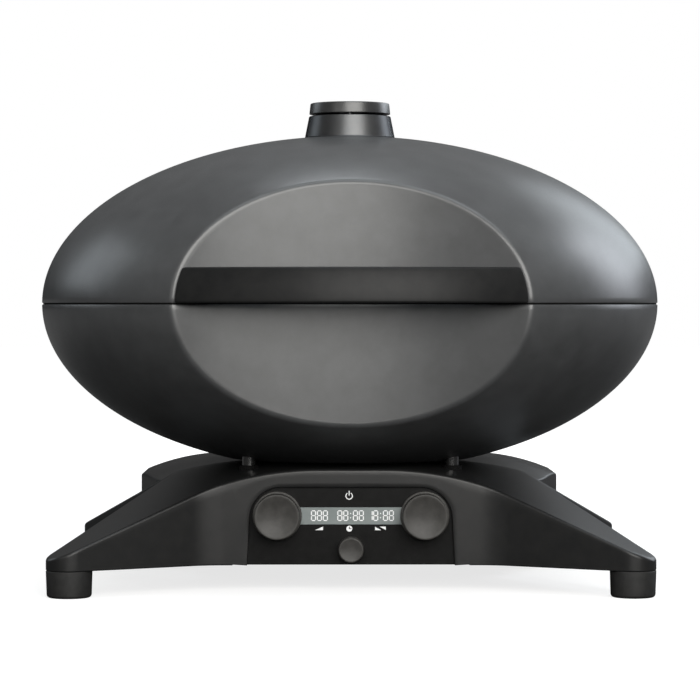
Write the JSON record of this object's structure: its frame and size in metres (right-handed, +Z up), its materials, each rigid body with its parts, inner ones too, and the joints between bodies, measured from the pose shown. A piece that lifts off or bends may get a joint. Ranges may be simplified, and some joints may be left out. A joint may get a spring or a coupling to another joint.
{
  "type": "electric grill",
  "caption": "Lens-shaped countertop electric grill with a hinged lid, chimney damper, scooped front with a bar handle, and a splayed base with knobs, push button and display.",
  "frame": {"origin": "on the floor under the vertical axis of the round body", "axes": "+X to the user's right, -Y towards the user at the front, +Z up"},
  "size_m": [0.5798, 0.5799, 0.4475],
  "materials": {
    "shell_coating": "satin anthracite powder coat on cast aluminium",
    "base_plastic": "satin black moulded plastic",
    "handle_plastic": "satin black heat-proof plastic",
    "panel_gloss": "smooth dark panel",
    "knob_plastic": "satin black with a dished face",
    "foot_rubber": "matt black rubber",
    "steel": "brushed stainless steel",
    "grate_iron": "black enamelled cast iron",
    "heating_sheath": "heat-darkened steel sheath",
    "display_glass": "clear grey window over the lit digits",
    "display_dark": "black module",
    "circuit_board": "green solder mask",
    "ceramic": "unglazed ceramic"
  },
  "bodies": {
    "base": {"lower_shell": "shell_coating", "rim_seal": "foot_rubber", "grate_left": "grate_iron", "grate_right": "grate_iron", "outer_element": "heating_sheath", "inner_element": "heating_sheath", "element_supports": "steel", "drip_pan": "steel", "temperature_sensor": "steel", "hinge_brackets": "steel", "hinge_pins": "steel", "bracket_screws": "steel", "terminal_cover": "base_plastic", "terminal_block": "ceramic", "cover_screws": "steel", "wiring_conduit": "base_plastic", "conduit_nuts": "base_plastic", "wiring_harness": "foot_rubber", "standing_pegs": "steel", "peg_bolts": "steel", "base_housing": "base_plastic", "base_plate": "steel", "plate_screws": "steel", "foot_front_left": "foot_rubber", "foot_front_right": "foot_rubber", "foot_rear_left": "foot_rubber", "foot_rear_right": "foot_rubber", "foot_screws": "steel", "control_panel": "panel_gloss", "board_screws": "steel", "display_window": "display_glass", "display_module": "display_dark", "control_board": "circuit_board", "board_posts": "display_dark", "left_encoder": "steel", "right_encoder": "steel", "button_switch": "display_dark", "power_board": "circuit_board", "power_board_posts": "steel", "relays": "display_dark", "heat_sink": "steel", "transformer": "grate_iron", "cord_gland": "base_plastic", "gland_nut": "base_plastic"},
    "lid": {"lid_shell": "shell_coating", "chimney_tube": "shell_coating", "damper_seat": "steel", "damper_pivot": "steel", "handle_grip": "handle_plastic", "handle_pads": "foot_rubber", "handle_screws": "steel", "lid_hinge_leaves": "steel", "lid_hinge_screws": "steel"},
    "damper": {"chimney_cap": "shell_coating", "damper_valve": "steel"},
    "left_dial": {"left_knob": "knob_plastic", "left_shaft": "steel"},
    "right_dial": {"right_knob": "knob_plastic", "right_shaft": "steel"},
    "push_button": {"timer_button": "knob_plastic"}
  },
  "joints": [
    {"name": "lid_hinge", "type": "hinge", "parent": "base", "child": "lid", "pos_m": [0, 0.264, 0.258], "axis": [-1, 0, 0], "range_deg": [0, 90]},
    {"name": "damper_turn", "type": "hinge", "parent": "lid", "child": "damper", "pos_m": [0, 0, 0.44], "axis": [0, 0, 1], "range_deg": [0, 90]},
    {"name": "left_knob_turn", "type": "hinge", "parent": "base", "child": "left_dial", "pos_m": [-0.066, -0.16, 0.0684], "axis": [0, -1, 0], "continuous": true},
    {"name": "right_knob_turn", "type": "hinge", "parent": "base", "child": "right_dial", "pos_m": [0.066, -0.16, 0.0684], "axis": [0, -1, 0], "continuous": true},
    {"name": "button_press", "type": "slide", "parent": "base", "child": "push_button", "axis": [0, 1, 0], "range_m": [0, 0.002], "stiffness_N_per_m": 400}
  ]
}
